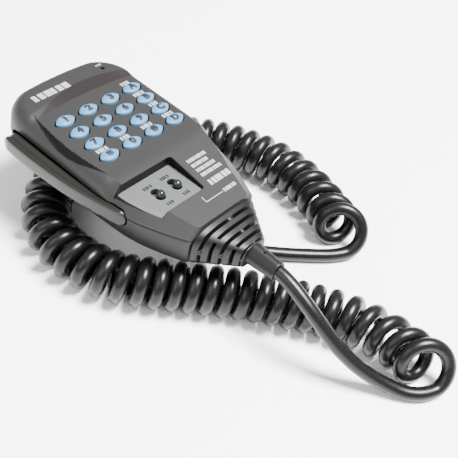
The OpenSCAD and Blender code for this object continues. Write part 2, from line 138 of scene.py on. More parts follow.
def new_piece(name, points, faces, material, body=CASING, slot=None, replaces=(), sharp=CRISP, merge=0.0,
              outward=True):
    """Mesh of the points, in millimetres, riding on a body, with edges sharper than the angle kept crisp."""
    mesh = bpy.data.meshes.new(name)
    mesh.from_pydata((np.asarray(points, float).reshape(-1, 3) * MM).tolist(), [], [list(f) for f in faces])
    bm = bmesh.new()
    bm.from_mesh(mesh)
    if merge:
        bmesh.ops.remove_doubles(bm, verts=bm.verts, dist=merge * MM)
    if outward:
        bmesh.ops.recalc_face_normals(bm, faces=bm.faces)
    bm.to_mesh(mesh)
    bm.free()
    for m in material if isinstance(material, (list, tuple)) else [material]:
        mesh.materials.append(m)
    obj = bpy.data.objects.new(name, mesh)
    bpy.context.scene.collection.objects.link(obj)
    mesh.polygons.foreach_set("use_smooth", [True] * len(mesh.polygons))
    mesh.set_sharp_from_angle(angle=math.radians(sharp))
    if body:
        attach(obj, body)
    if replaces:
        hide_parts(*replaces)
    return obj


def gather(parts):
    """Joins (points, faces) pairs into one pair, with each part's faces counted on from the last."""
    points, faces, start = [], [], 0
    for p, f in parts:
        p = np.asarray(p, float).reshape(-1, 3)
        points.append(p)
        faces += [[int(i) + start for i in face] for face in f]
        start += len(p)
    return np.vstack(points), faces


def turned(profile, origin, axis="z", count=40):
    """Profile of (radius, height) pairs turned round an axis through origin; heights run along +axis."""
    p = np.asarray(profile, float)
    a = 2 * np.pi * np.arange(count) / count
    u = p[:, 0, None] * np.cos(a)
    v = p[:, 0, None] * np.sin(a)
    h = np.broadcast_to(p[:, 1, None], u.shape)
    axes = {"z": (u, v, h), "y": (v, h, u), "x": (h, u, v)}[axis]
    points = np.stack(axes, -1) + np.asarray(origin, float)
    faces = [list(f) for f in grid_quads(len(p), count, True)]
    last = (len(p) - 1) * count
    faces += [list(range(count))[::-1], list(range(last, last + count))]
    return points.reshape(-1, 3), faces


def stack(loops):
    """Loops of equal length joined in order, the first and last closed by a face."""
    loops = np.asarray(loops, float)
    rows, cols = loops.shape[:2]
    faces = [list(f) for f in grid_quads(rows, cols, True)]
    faces += [list(range(cols))[::-1], list(range((rows - 1) * cols, rows * cols))]
    return loops.reshape(-1, 3), faces


def lifted(loop, z):
    """A flat loop at height z, where z is a number or one number for each point."""
    return np.column_stack([loop, np.broadcast_to(z, len(loop))])


def grown(loop, by):
    """A counterclockwise loop moved outwards along its normals."""
    t = np.roll(loop, -1, 0) - np.roll(loop, 1, 0)
    n = np.stack([t[:, 1], -t[:, 0]], -1)
    return loop + by * n / np.linalg.norm(n, axis=1)[:, None]


def rounded_box(low, high, r=0.3, count=6):
    """Box from low to high whose upright edges are rounded, and whose top and bottom rims lean in by r."""
    low, high = np.asarray(low, float), np.asarray(high, float)
    r = min(r, *((high - low) * 0.45))
    a = np.linspace(0, np.pi / 2, count)
    corner = np.concatenate([a, a + np.pi / 2, a + np.pi, a + 1.5 * np.pi])
    centre = np.repeat([[high[0] - r, high[1] - r], [low[0] + r, high[1] - r], [low[0] + r, low[1] + r],
                        [high[0] - r, low[1] + r]], count, axis=0)
    ring = lambda k: centre + k * np.stack([np.cos(corner), np.sin(corner)], -1)
    return stack([lifted(ring(0.3 * r), low[2]), lifted(ring(r), low[2] + 0.7 * r),
                  lifted(ring(r), high[2] - 0.7 * r), lifted(ring(0.3 * r), high[2])])


# ---------- materials ----------

def finish_of(name, colour, roughness, grain_mm=0.25, bump=0.1, mottle=0.06, metal=0.0, coat=0.0,
              streak=(1, 1, 1), clear=0.0, shine=0.3, painted_shade_tint=None):
    """Principled material: fine grain as bump and in the roughness, and a slow mottle in the colour. The last argument
    is the colour and the roughness of painted shade, laid where the piece's own attribute named hollow is 1."""
    material = bpy.data.materials.new(name)
    material.use_nodes = True
    tree = material.node_tree
    shader = tree.nodes["Principled BSDF"]
    shader.inputs["Metallic"].default_value = metal
    shader.inputs["Coat Weight"].default_value = coat
    shader.inputs["Coat Roughness"].default_value = 0.12
    shader.inputs["Transmission Weight"].default_value = clear
    shader.inputs["Specular IOR Level"].default_value = shine
    where = tree.nodes.new("ShaderNodeTexCoord")
    spread = tree.nodes.new("ShaderNodeMapping")
    spread.inputs["Scale"].default_value = streak
    tree.links.new(where.outputs["Object"], spread.inputs["Vector"])

    def noise(size_mm, detail):
        node = tree.nodes.new("ShaderNodeTexNoise")
        node.inputs["Scale"].default_value = 1 / (size_mm * MM)
        node.inputs["Detail"].default_value = detail
        tree.links.new(spread.outputs["Vector"], node.inputs["Vector"])
        return node.outputs["Fac"]

    def ramp(value, low, high, at_low, at_high):
        node = tree.nodes.new("ShaderNodeMapRange")
        node.inputs["From Min"].default_value, node.inputs["From Max"].default_value = low, high
        node.inputs["To Min"].default_value, node.inputs["To Max"].default_value = at_low, at_high
        tree.links.new(value, node.inputs["Value"])
        return node.outputs["Result"]

    slow, grain = noise(9, 3), noise(grain_mm, 2)
    mix = tree.nodes.new("ShaderNodeMix")
    mix.data_type = "RGBA"
    tone = np.asarray(colour, float)
    mix.inputs["A"].default_value = (*(tone * (1 - mottle)), 1)
    mix.inputs["B"].default_value = (*np.clip(tone * (1 + mottle), 0, 1), 1)
    tree.links.new(slow, mix.inputs["Factor"])
    colour_out = mix.outputs["Result"]
    rough_out = ramp(grain, 0.3, 0.7, roughness * 0.88, min(1, roughness * 1.12))
    # Painted shade: where the attribute is 1, the colour turns to the darker tint and the roughness to its own value
    if painted_shade_tint:
        mark = tree.nodes.new("ShaderNodeAttribute")
        mark.attribute_name = "hollow"
        shade = tree.nodes.new("ShaderNodeMix")
        shade.data_type = "RGBA"
        tree.links.new(mark.outputs["Fac"], shade.inputs["Factor"])
        tree.links.new(colour_out, shade.inputs["A"])
        shade.inputs["B"].default_value = (*painted_shade_tint[0], 1)
        colour_out = shade.outputs["Result"]
        smooth = tree.nodes.new("ShaderNodeMix")
        tree.links.new(mark.outputs["Fac"], smooth.inputs["Factor"])
        tree.links.new(rough_out, smooth.inputs["A"])
        smooth.inputs["B"].default_value = painted_shade_tint[1]
        rough_out = smooth.outputs["Result"]
    tree.links.new(colour_out, shader.inputs["Base Color"])
    tree.links.new(rough_out, shader.inputs["Roughness"])
    relief = tree.nodes.new("ShaderNodeBump")
    relief.inputs["Strength"].default_value = bump
    relief.inputs["Distance"].default_value = 0.1 * MM
    tree.links.new(grain, relief.inputs["Height"])
    tree.links.new(relief.outputs["Normal"], shader.inputs["Normal"])
    return material


# Front cover grey; its last argument paints shade, a darker purple tint, on the band above the keys
cover_grey = finish_of("cover_grey", (0.0132, 0.0128, 0.0126), 0.5, grain_mm=0.3, bump=0.3,
                       shine=0.22, painted_shade_tint=((0.009, 0.0066, 0.0072), 0.36))
# Near-black paint for shade on the crescent and on the walls of the openings in the front cover
painted_shade_black = finish_of("painted_shade_black", (0.002, 0.0018, 0.0018), 0.45, grain_mm=0.4, bump=0.0, shine=0.12)
# Darker copy of the cover grey: painted shade for the rear cover, which lies in shadow under the casing; the screw
# posts and the button collar share it
cover_dark = finish_of("cover_dark", (0.0062, 0.006, 0.0056), 0.5, grain_mm=0.3, bump=0.3, shine=0.22)
bar_grey = finish_of("bar_grey", (0.009, 0.0088, 0.0078), 0.25, grain_mm=0.25, bump=0.0, shine=0.2)
key_blue = finish_of("key_blue", (0.05, 0.14, 0.25), 0.42, grain_mm=0.4, bump=0.05, mottle=0.04, shine=0.2)
mat_rubber = finish_of("mat_rubber", (0.06, 0.15, 0.25), 0.6, grain_mm=0.4)
mark_black = finish_of("mark_black", (0.006, 0.008, 0.013), 0.5, grain_mm=0.2)
mark_white = finish_of("mark_white", (0.25, 0.25, 0.25), 0.5, grain_mm=0.2)
plate_silver = finish_of("plate_silver", (0.085, 0.087, 0.088), 0.42, grain_mm=0.2, bump=0.08, metal=0.3)
knob_black = finish_of("knob_black", (0.008, 0.008, 0.009), 0.14, grain_mm=0.5, bump=0.02, coat=0.4)
boot_rubber = finish_of("boot_rubber", (0.003, 0.003, 0.0033), 0.42, grain_mm=0.35, bump=0.1, shine=0.2)
cord_black = finish_of("cord_black", (0.003, 0.0028, 0.0031), 0.3, grain_mm=1.2, bump=0.0, shine=0.24)
board_green = finish_of("board_green", (0.02, 0.12, 0.06), 0.35, grain_mm=1.5, bump=0.15, mottle=0.2)
part_black = finish_of("part_black", (0.02, 0.02, 0.02), 0.5, grain_mm=0.3)
steel = finish_of("steel", (0.58, 0.58, 0.6), 0.3, grain_mm=0.15, bump=0.08, metal=1.0, streak=(1, 1, 6))
screw_dark = finish_of("screw_dark", (0.1, 0.1, 0.1), 0.35, grain_mm=0.15, metal=1.0)
led_white = finish_of("led_white", (0.85, 0.88, 0.8), 0.25)
connector_white = finish_of("connector_white", (0.8, 0.8, 0.75), 0.45)
wire_red = finish_of("wire_red", (0.5, 0.05, 0.04), 0.4)
plug_clear = finish_of("plug_clear", (0.8, 0.84, 0.86), 0.12, grain_mm=1.5, bump=0.03, clear=0.85)
contact_gold = finish_of("contact_gold", (0.8, 0.6, 0.25), 0.25, metal=1.0)


# ---------- camera ----------

def aim_camera():
    """Camera at the viewing angle: looks along its azimuth and elevation, rolled about its own axis."""
    elevation, roll, azimuth = 0.7809, 0.2424, 1.0254
    forward = np.array([math.cos(elevation) * math.sin(azimuth), math.cos(elevation) * math.cos(azimuth),
                        -math.sin(elevation)])
    level = np.array([math.cos(azimuth), -math.sin(azimuth), 0])
    upright = np.cross(level, forward)
    right = math.cos(roll) * level + math.sin(roll) * upright
    up = -math.sin(roll) * level + math.cos(roll) * upright
    data = bpy.data.cameras.new("camera")
    data.sensor_width = 36
    data.lens = 36 * 850 / 458
    data.clip_start, data.clip_end = 0.01, 10
    camera = bpy.data.objects.new("camera", data)
    matrix = Matrix.Identity(4)
    for column, axis in enumerate((right, up, -forward)):
        for row in range(3):
            matrix[row][column] = axis[row]
    matrix.translation = Vector((-187.72, -163.22, 236.66)) * MM
    camera.matrix_world = matrix
    bpy.context.scene.collection.objects.link(camera)
    bpy.context.scene.camera = camera


aim_camera()

# ---------- cord ----------

LEAD_ROUTE = [
    (0, -73.5, 16.5), (0, -77, 16), (-0.1, -81, 14.9), (-0.3, -85.5, 13.2), (-0.3, -90, 11), (0, -94, 8.5),
    (0.7, -98, 5.4), (1.9, -102.6, 1.6), (3.7, -107.4, -2.3), (6.1, -112.4, -6), (8.9, -117.2, -9.2),
    (11.2, -121, -11.1), (13.4, -124.8, -12.6), (15.5, -128.4, -13.7), (18.2, -131.9, -14.2), (21.7, -135, -14.2),
]
COIL_ROUTE = [
    (26.3, -133, -6.4), (26.9, -128.5, -6.9), (27.2, -124, -7), (27.3, -119, -7),
    (26.8, -112, -7), (25, -105, -7), (22.4, -97, -7), (18, -88.5, -7), (12.8, -80, -7), (6.5, -70.5, -7),
    (0, -61.5, -7), (-7, -53, -7), (-14.5, -44, -7), (-22, -35.5, -7), (-28.5, -27, -7), (-33, -17.5, -7),
    (-35, -7.5, -7), (-34.8, 2.5, -7), (-31.5, 12, -7), (-25.5, 20, -7), (-17.5, 26, -7), (-8, 29.8, -7),
    (2, 31.6, -7), (12, 31.6, -7), (22, 29.8, -7), (31.5, 26.4, -7), (40.5, 21.6, -7), (48.8, 15.4, -7),
    (56, 8, -7), (62, -0.4, -7), (66.6, -9.6, -7), (69.8, -19.4, -7), (70.6, -29.6, -7), (69.6, -39.8, -7),
    (67, -49.6, -7), (64, -57.8, -7), (61.2, -63.6, -6.9), (57.8, -69.2, -6.4),
]
TAIL_ROUTE = [
    (52.6, -71, -14.2), (49, -68.4, -14.2), (45, -64.9, -14.2), (41, -61.2, -14.2), (37, -57.4, -14.2),
    (32.8, -53, -14.2), (29, -48.8, -14.2), (25.8, -44.4, -14.2), (23.4, -39.8, -14.2), (21.6, -35, -14.2),
    (20.4, -30.4, -14.2), (19.4, -25.8, -14.2), (19, -21, -14.2), PLUG,
]
# The way the end turns face, which tip over from square to the line
START_FACING = (0.55, 0.7, -0.46)
END_FACING = (-0.68, -0.55, 0.48)


def coil_turns(per_turn=22, facing_turns=5):
    """Left-handed turns round the coil's middle line, from just after the bottom to just before it. A turn's plane is
    square to the line, except that the last five at each end tip over, each more than the one before, and the very
    last also widen."""
    line = smooth_line(COIL_ROUTE, 0.3)
    along = np.concatenate([[0], np.cumsum(np.linalg.norm(np.diff(line, axis=0), axis=1))])
    even = np.linspace(0, along[-1], len(line))
    line = np.stack([np.interp(even, along, line[:, k]) for k in range(3)], -1)
    tangent = np.gradient(line, even, axis=0)
    tangent /= np.linalg.norm(tangent, axis=1)[:, None]
    bend = np.linalg.norm(np.gradient(tangent, even, axis=0), axis=1)
    window = np.hanning(61) / np.hanning(61).sum()
    bend = np.convolve(np.pad(bend, 30, mode="edge"), window, mode="valid")
    from_end = np.minimum(even, even[-1] - even)
    pitch = np.maximum(PITCH, 1.03 * CORD_D / (1 - TURN_R * bend)) + 1.7 * (1 - step(from_end, 20, 54))
    turns = np.concatenate([[0], np.cumsum(np.diff(even) / pitch[1:])])
    total = round(turns[-1])
    turns *= total / turns[-1]
    at = np.arange(1, total * per_turn) / per_turn
    s = np.interp(at, turns, even)
    centre = np.stack([np.interp(s, even, line[:, k]) for k in range(3)], -1)
    facing = np.stack([np.interp(s, even, tangent[:, k]) for k in range(3)], -1)
    for target, left in ((START_FACING, at), (END_FACING, total - at)):
        share = np.clip(1 - left / facing_turns, 0, 1)[:, None] ** 1.3
        facing = facing * (1 - share) + np.asarray(target) * share
    facing /= np.linalg.norm(facing, axis=1)[:, None]
    side = np.stack([facing[:, 1], -facing[:, 0], 0 * s], -1)
    side /= np.linalg.norm(side, axis=1)[:, None]
    up = np.cross(side, facing)
    nearest = np.minimum(at, total - at)
    radius = TURN_R + 1.6 * np.clip(1 - nearest / 1.6, 0, 1)
    phase = 2 * np.pi * at
    points = centre + radius[:, None] * (np.sin(phase)[:, None] * side - np.cos(phase)[:, None] * up)
    points[:, 2] = np.maximum(points[:, 2], FLOOR_Z + CORD_D / 2)
    return points


def lay_cord():
    """One round cord: the lead from the sleeve, the curled stretch, and the tail to the plug under the casing."""
    line = smooth_line(np.vstack([LEAD_ROUTE, coil_turns(), TAIL_ROUTE]), 2.4) * MM
    curve = bpy.data.curves.new("cord", "CURVE")
    curve.dimensions = "3D"
    curve.bevel_depth = CORD_D / 2 * MM
    curve.bevel_resolution = 6
    curve.use_fill_caps = True
    spline = curve.splines.new("POLY")
    spline.points.add(len(line) - 1)
    spline.points.foreach_set("co", np.column_stack([line, np.ones(len(line))]).ravel())
    spline.use_smooth = True
    curve.materials.append(cord_black)
    cord = bpy.data.objects.new("cord", curve)
    bpy.context.scene.collection.objects.link(cord)
    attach(cord, CASING)
    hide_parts("cord_lead", "cord_coil", "cord_tail")
    return cord, float(np.linalg.norm(np.diff(line, axis=0), axis=1).sum())


cord, cord_length = lay_cord()


# ---------- casing ----------

def casing_loop(count=320):
    """Closed outline of the casing from the middle of the boot end, counterclockwise: straight and round stretches
    on the right, evenly spaced, softened by a moving average, and mirrored on the left."""
    a = np.radians(np.linspace(0, 78, 14))
    head = np.stack([14.2 + 14 * np.cos(a), 33.5 + 14 * np.sin(a)], -1)
    right = np.vstack([[(0, FOOT_Y), (16, FOOT_Y), (17.7, -45.4), (22.3, -36), (25.6, -27.5), (27.3, -20),
                        (28, -10), (28.2, 0)], head, [(7, 47.9), (0, 48)]])
    loop = np.vstack([right, right[-2:0:-1] * (-1, 1), right[:1]])
    along = np.concatenate([[0], np.cumsum(np.linalg.norm(np.diff(loop, axis=0), axis=1))])
    fine = np.linspace(0, along[-1], 8 * count, endpoint=False)
    dense = np.stack([np.interp(fine, along, loop[:, k]) for k in range(2)], -1)
    window = np.hanning(41) / np.hanning(41).sum()
    padded = np.vstack([dense[-20:], dense, dense[:20]])
    soft = np.stack([np.convolve(padded[:, k], window, mode="valid") for k in range(2)], -1)
    return soft[::8]


OUTLINE = casing_loop()


def inset(depth, foot=1.0):
    """The outline drawn in by depth at its sides and its microphone end, and by foot times depth at its boot end.
    depth is one number for each point or for all; at half the width both sides meet on the middle line."""
    x, y = OUTLINE.T
    keep = np.where(y < MIDDLE_Y, foot, 1.0) * depth
    return x * (1 - depth / HALF_WIDTH), MIDDLE_Y + (y - MIDDLE_Y) * (1 - keep / HALF_LENGTH)


def band_low(x):
    """Y of the band's lower edge, an arc that is highest at x = -1."""
    return 30.5 - 0.0028 * (x + 1) ** 2


def band_high(x):
    """Y of the band's upper edge, a tighter arc that is highest at x = 4."""
    return 36.5 - 0.0105 * (x - 4) ** 2


def face_height(x, y):
    """Height of the face: level by the keys, falling 5 mm from the fold to the boot end, and raised at the head
    above a slanting band whose lower and upper edges are two arcs."""
    fall = FACE_FALL * np.maximum(FOLD_Y - y, 0)
    soft = 0.075 * np.exp(-(((y - FOLD_Y) / 0.8) ** 2))
    rise = np.clip((y - band_low(x)) / np.maximum(band_high(x) - band_low(x), 3), 0, 1)
    return FACE_Z - fall - soft + HEAD_RISE * rise


def crescent_edges(y):
    """X of the straight inner edge and the bowed outer edge of the hollow left of the keys, and its 0 to 1 depth."""
    swell = np.clip(1 - ((y - 11) / 20.5) ** 2, 0, 1)
    inner = -24.7 + 1.5 * ((y - 10) / 19) ** 2
    return inner, inner - 2.5 * swell, swell


def shoulder_width(y):
    """How far the shoulder reaches in from the outline."""
    return np.interp(y, [-46, -33.5, -14.7, -10], [6.2, 7.4, 5.0, 4.6])


def shoulder_base(y):
    """How far the shoulder is the straight slope below the fold, 0 to 1, and the height where it starts."""
    low = 1 - step(y, -17, -9)
    return low, SHOULDER_Z * (1 - low) + 21.9 * low


def shoulder_height(y, turn, top):
    """Height on the shoulder at a turn of 0 to 90 degrees: a quarter ellipse by the keys, and one straight slope
    below the fold, fading from one to the other."""
    low, base = shoulder_base(y)
    return base + (top - base) * ((1 - low) * np.sin(turn) + low * (1 - np.cos(turn)))


def front_rows(shift, drop, shoulder_count, face_count):
    """Rows of the front cover from its rim to its middle line, drawn in by shift and lowered by drop."""
    y0 = OUTLINE[:, 1]
    width = shoulder_width(y0) + 0.5 * shift
    rows = []
    base = shoulder_base(y0)[1]
    for share in (0, 0.35, 1):
        x, y = inset(shift + 0.12 * share + 0 * y0, foot=0.1)
        rows.append(np.stack([x, y, PARTING_Z + 0.25 + (base - drop * 0.5 - PARTING_Z - 0.25) * share], -1))
    for turn in np.linspace(0, np.pi / 2, shoulder_count)[1:]:
        depth = shift + 0.12 + (width - shift - 0.12) * (1 - np.cos(turn))
        x, y = inset(depth, foot=0.1 + 0.4 * (shift > 0))
        rows.append(np.stack([x, y, shoulder_height(y, turn, face_height(x, y)) - drop * np.sin(turn) ** 0.5], -1))
    for share in np.linspace(0, 1, face_count)[1:]:
        depth = width + (HALF_WIDTH - width) * share
        x, y = inset(depth, foot=0.1 + 0.4 * (shift > 0) + 0.9 * share)
        rows.append(np.stack([x, y, face_height(x, y) - drop], -1))
    return np.array(rows)


def crescent_tool():
    """Cutter for the hollow left of the keys. Its floor sags below a straight line between the hollow's two edges,
    0.6 mm where the hollow is widest."""
    y = np.linspace(-9.3, 31.3, 80)
    inner, outer, swell = crescent_edges(y)
    q = np.linspace(0, 1, 14)[None, :]
    edge_depth = np.clip((HALF_WIDTH + outer) / shoulder_width(y), 0, 1)
    edge_z = SHOULDER_Z + (FACE_Z - SHOULDER_Z) * np.sqrt(np.clip(1 - (1 - edge_depth) ** 2, 0, 1))
    low = FACE_Z * (1 - q) + edge_z[:, None] * q - 0.6 * swell[:, None] * np.sin(np.pi * q) ** 0.7
    x = inner[:, None] * (1 - q) + outer[:, None] * q
    low = np.column_stack([low[:, 0] + 0.3, low[:, 1:-1], low[:, -1] + 0.3])
    x = np.column_stack([x, x[:, -1:], x[:, :1]])
    z = np.column_stack([low, np.full((len(y), 2), 36.0)])
    return stack(np.stack([x, np.broadcast_to(y[:, None], x.shape), z], -1))


def shade_casing(obj, openings):
    """Paints shade on the casing: the band above the keys gets a darker tint through the attribute named hollow,
    and the crescent and the walls of the openings get the black material, as they lie in shade.
    """
    mesh = obj.data
    co = np.empty(len(mesh.vertices) * 3)
    mesh.vertices.foreach_get("co", co)
    x, y, z = co.reshape(-1, 3).T / MM
    # Painted shade on the band above the keys, which faces away from the light: a 0 to 1 mark in the attribute named
    # hollow
    band = step(y, band_low(x) - 0.2, band_low(x) + 0.2) * (1 - step(y, band_high(x) - 0.2, band_high(x) + 0.2))
    layer = mesh.attributes.new("hollow", "FLOAT", "POINT")
    layer.data.foreach_set("value", (band * step(x, -24, -19) * step(z, 28.5, 29.4)).astype(np.float32))
    co = np.empty(len(mesh.polygons) * 3)
    mesh.polygons.foreach_get("center", co)
    x, y, z = co.reshape(-1, 3).T / MM
    inner, outer, swell = crescent_edges(y)
    # Painted shade: the crescent left of the keys and the walls of the key holes and the recess get the black material
    black = (x < inner) & (x > outer) & (swell > 0) & (z > 24.2) & (z < FACE_Z - 0.02)
    for low, high in openings:
        inside = (x > low[0]) & (x < high[0]) & (y > low[1]) & (y < high[1])
        black |= inside & (z < face_height(x, y) - 0.32) & (z > low[2])
    mesh.materials.append(painted_shade_black)
    mesh.polygons.foreach_set("material_index", black.astype(np.int32))
    bm = bmesh.new()
    bm.from_mesh(mesh)
    for edge in bm.edges:
        if len({face.material_index for face in edge.link_faces}) > 1:
            edge.smooth = False
    bm.to_mesh(mesh)
    bm.free()


def block_under_recess(rows):
    """Lowers the inner surface to a solid block round the switch recess."""
    x, y, z = rows[..., 0], rows[..., 1], rows[..., 2]
    inside = (x < RECESS[0] + 1.6) & (y > RECESS[1] - 1.6) & (y < RECESS[2] + 1.6) & (z > 23.3)
    return np.stack([x, y, np.where(inside, 23.3, z)], -1)


def lens_loop(half_x, half_y, count=48):
    """Eye outline: two arcs that meet in rounded tips; y is half_y (1 - |x/half_x|^1.9)^0.7, x evenly turned."""
    a = 2 * np.pi * np.arange(count) / count
    x = half_x * np.cos(a)
    y = half_y * np.sign(np.sin(a)) * (1 - np.abs(np.cos(a)) ** 1.9) ** 0.7
    return np.stack([x, y], -1)


def key_places():
    """Middles of the sixteen keys, row by row from the microphone end."""
    column, row = np.meshgrid(np.arange(4) - 1.5, 1.5 - np.arange(4))
    return np.stack([KEY_PAD[0] + column.ravel() * KEY_PITCH[0], KEY_PAD[1] + row.ravel() * KEY_PITCH[1]], -1)


def cut(obj, parts, name):
    """Cuts closed shapes out of a piece with one boolean, and marks its crisp edges again."""
    points, faces = gather(parts)
    tool = new_piece(name, points, faces, cover_grey, body=None)
    step_out = obj.modifiers.new(name, "BOOLEAN")
    step_out.operation, step_out.solver, step_out.object = "DIFFERENCE", "EXACT", tool
    graph = bpy.context.evaluated_depsgraph_get()
    made = bpy.data.meshes.new_from_object(obj.evaluated_get(graph))
    obj.modifiers.clear()
    old, obj.data = obj.data, made
    bpy.data.meshes.remove(old)
    bpy.data.objects.remove(tool)
    obj.data.polygons.foreach_set("use_smooth", [True] * len(obj.data.polygons))
    obj.data.set_sharp_from_angle(angle=math.radians(CRISP))


def flared(loop, bottom, flare=0.25, top=6):
    """Prism from bottom to above the face that widens by about flare where it meets the face, for a chamfered rim."""
    height = face_height(loop[:, 0], loop[:, 1])
    wide, wider = grown(loop, 0.5 * flare), grown(loop, 2 * flare)
    return stack([lifted(loop, bottom), lifted(loop, height - flare), lifted(wide, height - 0.4 * flare),
                  lifted(wider, height + flare), lifted(wider, height + top)])


def slot_prism(x0, x1, count=24):
    """Bar-shaped slot with round ends, seen along X, from x0 to x1."""
    r = BAR_H / 2 + BAR_GAP
    a = np.linspace(-np.pi / 2, np.pi / 2, count)
    z = BAR_Z + BAR_H / 2
    y1, y0 = SLOT_ENDS[1] - r, SLOT_ENDS[0] + r
    loop = np.vstack([np.stack([y1 + r * np.cos(a), z + r * np.sin(a)], -1),
                      np.stack([y0 - r * np.cos(a), z - r * np.sin(a)], -1)])
    return stack([np.column_stack([np.full(len(loop), x), loop]) for x in (x0, x1)])


def recess_loop(r=1.2, count=8):
    """Recess outline, open past the left side, with its two right corners rounded."""
    x1, y0, y1, _ = RECESS
    a = np.linspace(-np.pi / 2, 0, count)
    low = np.stack([x1 - r + r * np.cos(a), y0 + r + r * np.sin(a)], -1)
    high = np.stack([x1 - r + r * np.cos(a + np.pi / 2), y1 - r + r * np.sin(a + np.pi / 2)], -1)
    fill = np.linspace(-45, x1 - r - 0.5, 40)
    return np.vstack([np.stack([fill, fill * 0 + y0], -1), low, high, np.stack([fill[::-1], fill * 0 + y1], -1)])


def make_front_cover():
    """Outer and inner rows joined round the rim, then cut for the keys, the recess, the knobs, the microphone hole,
    the bar's slot and the hollow left of the keys."""
    outer = front_rows(0, 0, 30, 92)
    rim = outer[:1].copy()
    x, y = inset(0.35 + 0 * OUTLINE[:, 0], foot=0.1)
    rim[0] = np.stack([x, y, PARTING_Z + 0 * x], -1)
    inner = block_under_recess(front_rows(WALL, WALL, 10, 40))
    under = inner[:1].copy()
    under[..., 2] = PARTING_Z
    rows = np.vstack([inner[::-1], under, rim, outer])
    obj = new_piece("face_cover", rows.reshape(-1, 3), grid_quads(rows.shape[0], rows.shape[1], True), cover_grey,
                    slot="cover_grey", replaces=["front_cover"], merge=0.02)
    half = np.array([KEY_HALF[0] + 0.5, KEY_HALF[1] + 0.22])
    keys = [flared(lens_loop(*half) + place, 22) for place in key_places()]
    hole = superellipse(20, 0.9, 0.9, 2) + MIC_XY
    cut(obj, [*keys, flared(recess_loop(), RECESS[3]), flared(hole, 20, 0.12)], "openings")
    for name, y in (("knob_slots", KNOB_Y), ("knob_steps", KNOB_Y + KNOB_STEP)):
        cut(obj, [turned([(KNOB_HOLE_R, 22), (KNOB_HOLE_R, 26)], (x, y, 0), count=32) for x in KNOB_X], name)
    cut(obj, [slot_prism(-40, SLOT_FLOOR_X), crescent_tool()], "side_cuts")
    # Boxes round the key holes and the recess, whose walls get painted shade
    wells = [((*(place - half - 0.3), 22.5), place + half + 0.3) for place in key_places()]
    shade_casing(obj, [*wells, ((-40, RECESS[1] - 0.4, RECESS[3] - 0.05), (RECESS[0] + 0.4, RECESS[2] + 0.4))])


def rear_rows(shift, count, face_count):
    """Rows of the rear cover from its rim to its middle line: a quarter ellipse 12 mm wide and 17.5 mm deep."""
    wide, deep = 12, 17.5
    rows = []
    for turn in np.linspace(0, np.pi / 2, count):
        depth = shift + (wide - 0.6 * shift) * (1 - np.cos(turn))
        x, y = inset(depth + 0 * OUTLINE[:, 0], foot=0.12 + 0.5 * np.sin(turn) ** 3)
        z = BACK_Z + deep - (deep - shift) * np.sin(turn)
        rows.append(np.stack([x, y, z + 0 * x], -1))
    for share in np.linspace(0, 1, face_count)[1:]:
        depth = wide + 0.4 * shift + (HALF_WIDTH - wide - 0.4 * shift) * share
        x, y = inset(depth + 0 * OUTLINE[:, 0], foot=0.62 + 0.38 * share)
        z = BACK_Z + shift + 0 * x
        if not shift:
            # Shallow blank panel between the hang-up button and the microphone end
            z = z + 0.3 * step(np.abs(x), 13, 12.6) * step(np.abs(y - 21), 9, 8.6)
        rows.append(np.stack([x, y, z], -1))
    return np.array(rows)


def make_rear_cover():
    """Outer and inner rows joined round the rim, then cut for the screws, the end buttons and the bar's slot."""
    outer = rear_rows(0, 34, 50)
    inner = rear_rows(WALL, 16, 16)
    rim = outer[:1].copy()
    x, y = inset(0.35 + 0 * OUTLINE[:, 0], foot=0.1)
    rim[0] = np.stack([x, y, PARTING_Z - 0.12 + 0 * x], -1)
    under = inner[:1].copy()
    under[..., 2] = PARTING_Z - 0.12
    rows = np.vstack([inner[::-1], under, rim, outer])
    # The rear cover carries the darker grey as painted shade
    obj = new_piece("back_cover", rows.reshape(-1, 3), grid_quads(rows.shape[0], rows.shape[1], True), cover_dark,
                    slot="cover_dark", replaces=["rear_cover"], merge=0.02)
    wells = [turned([(2.3, -5), (2.3, BACK_Z - 0.1), (2, BACK_Z + 0.4), (2, 8), (2, 14)], (x, y, 0))
             for x, y in SCREW_XY]
    buttons = [turned([(3.3, 38), (3.3, 46), (3.6, 52)], (x, 0, BUTTON_Z), axis="y") for x in BUTTON_X]
    cut(obj, [*wells, *buttons, slot_prism(-40, SLOT_FLOOR_X)], "openings")


make_front_cover()
make_rear_cover()

# Screw posts and button collar in the rear cover's darker grey, which is painted shade
posts = gather([turned([(1.1, 11), (2.6, 11), (2.6, 20.9), (1.1, 20.9), (1.1, 11)], (x, y, 0))
                for x, y in SCREW_XY])
new_piece("screw_posts", *posts, cover_dark, slot="cover_dark")
collar = turned([(5.6, BACK_Z - 0.01), (5.4, BACK_Z - 0.35), (4.4, BACK_Z - 0.35), (4.4, BACK_Z + 1)], (0, 0, 0),
                count=48)
new_piece("button_collar", *collar, cover_dark, slot="cover_dark")


# ---------- keys ----------

def dome_height(x, y):
    """Height of a key cap's top: highest in the middle and 0.85 mm lower at its rim."""
    s2 = np.clip((x / KEY_HALF[0]) ** 2 + (y / KEY_HALF[1]) ** 2, 0, 1)
    return FACE_Z + 0.62 + 0.85 * (1 - s2)


def key_cap(place):
    """Lens-shaped cap: rings from a closed foot up an upright side, over a rounded rim and the dome to a pole."""
    loop = lens_loop(*KEY_HALF, count=48)
    rings = [lifted(loop * 0.98 + place, z) for z in (27.2, 27.4, 29)]
    for turn in np.linspace(0, 75, 6):
        k = 1 - 0.085 * (1 - math.cos(math.radians(turn)))
        z = 30.2 + 0.42 * math.sin(math.radians(turn))
        rings.append(lifted(loop * k + place, z))
    for k in (0.86, 0.74, 0.6, 0.45, 0.3, 0.15, 0.03):
        x, y = (loop * k).T
        rings.append(lifted(loop * k + place, dome_height(x, y)))
    return stack(rings)


